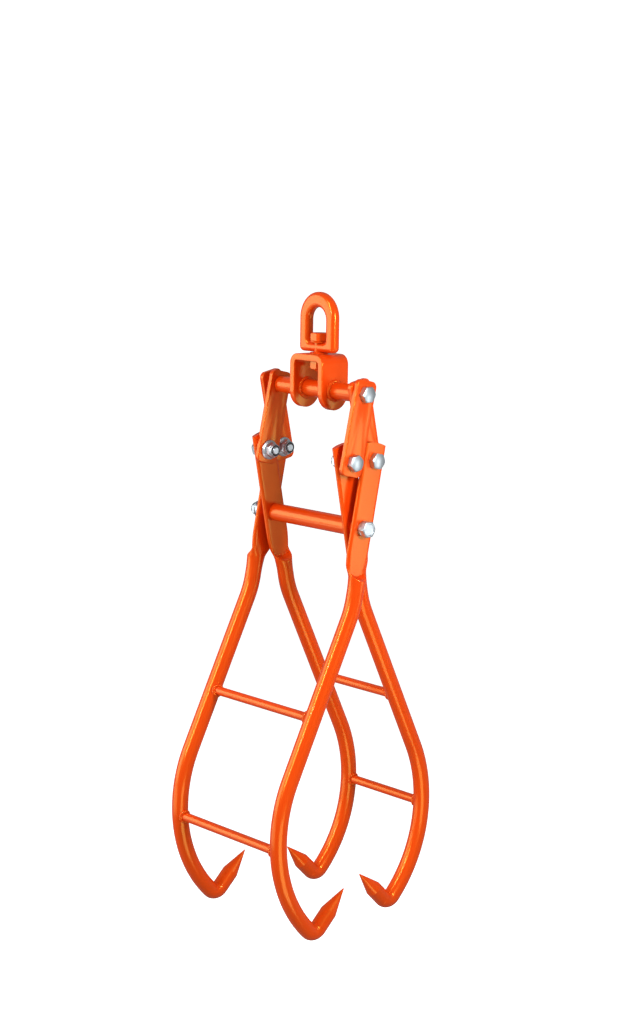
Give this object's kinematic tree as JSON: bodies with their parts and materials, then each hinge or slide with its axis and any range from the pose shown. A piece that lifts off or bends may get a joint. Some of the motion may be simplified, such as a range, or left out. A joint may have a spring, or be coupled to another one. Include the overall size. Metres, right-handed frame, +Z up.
{
  "type": "log grapple",
  "caption": "Scissor log lifting tongs: paired bent tube claws with welded points, flat links, a crossbar in a clevis and a swivel lifting eye.",
  "frame": {"origin": "where a hook or shackle bears inside the top of the swivel eye, on the swivel axis", "axes": "+Z up along the swivel axis, X the way the claws open, Y along the pivots with the front at -Y"},
  "size_m": [0.3496, 0.266, 0.9584],
  "materials": {
    "orange": "glossy orange powder coat",
    "zinc": "bright zinc plating",
    "nylon": "black nylon"
  },
  "bodies": {
    "eye": {"swivel_eye": "orange"},
    "clevis_assembly": {"clevis": "orange", "crossbar": "orange", "crossbar_bolt_front": "zinc", "crossbar_bolt_back": "zinc", "crossbar_spacer_back": "orange", "swivel_bolt": "orange", "swivel_head_washer": "orange", "swivel_eye_washer": "orange", "swivel_nut": "orange"},
    "left_links": {"link_left_front": "orange", "link_left_back": "orange", "bolt_left_front": "zinc", "bolt_left_back": "zinc", "washer_left_back": "zinc", "lock_nut_left_front": "zinc", "lock_nut_left_front_nylon_ring": "nylon", "lock_nut_left_back": "zinc", "lock_nut_left_back_nylon_ring": "nylon", "claw_spacer_left_front": "orange"},
    "right_links": {"link_right_front": "orange", "link_right_back": "orange", "bolt_right_front": "zinc", "bolt_right_back": "zinc", "lock_nut_right_front": "zinc", "lock_nut_right_front_nylon_ring": "nylon", "lock_nut_right_back": "zinc", "lock_nut_right_back_nylon_ring": "nylon"},
    "left_claws": {"claw_left_front": "orange", "claw_left_back": "orange", "point_left_front": "orange", "point_left_back": "orange", "rung_left_upper": "orange", "rung_left_lower": "orange", "pivot_bolt": "zinc", "pivot_washer_front": "zinc", "pivot_collar_back": "zinc", "pivot_tube": "orange", "pivot_spacer_front": "orange", "pivot_spacer_back": "orange", "lock_nut_pivot": "zinc", "lock_nut_pivot_nylon_ring": "nylon"},
    "right_claws": {"claw_right_front": "orange", "claw_right_back": "orange", "point_right_front": "orange", "point_right_back": "orange", "rung_right_upper": "orange", "rung_right_lower": "orange"}
  },
  "joints": [
    {"name": "swivel", "type": "hinge", "parent": "eye", "child": "clevis_assembly", "pos_m": [0, 0, -0.0691], "axis": [0, 0, 1], "continuous": true},
    {"name": "left_links_swing", "type": "hinge", "parent": "clevis_assembly", "child": "left_links", "pos_m": [0, 0, -0.1223], "axis": [0, 1, 0], "range_deg": [0, 65.2]},
    {"name": "right_links_swing", "type": "hinge", "parent": "clevis_assembly", "child": "right_links", "pos_m": [0, 0, -0.1223], "axis": [0, 1, 0], "range_deg": [-65.2, 0]},
    {"name": "right_claws_open", "type": "hinge", "parent": "left_links", "child": "right_claws", "pos_m": [-0.02173, 0, -0.22196], "axis": [0, 1, 0], "range_deg": [-130.4, 0]},
    {"name": "left_claws_open", "type": "hinge", "parent": "right_links", "child": "left_claws", "pos_m": [0.02173, 0, -0.22196], "axis": [0, 1, 0], "range_deg": [0, 130.4]}
  ],
  "couplings": [
    {"joint": "right_links_swing", "follows": "left_links_swing", "ratio": -1},
    {"joint": "right_claws_open", "follows": "left_links_swing", "ratio": -2},
    {"joint": "left_claws_open", "follows": "left_links_swing", "ratio": 2}
  ]
}
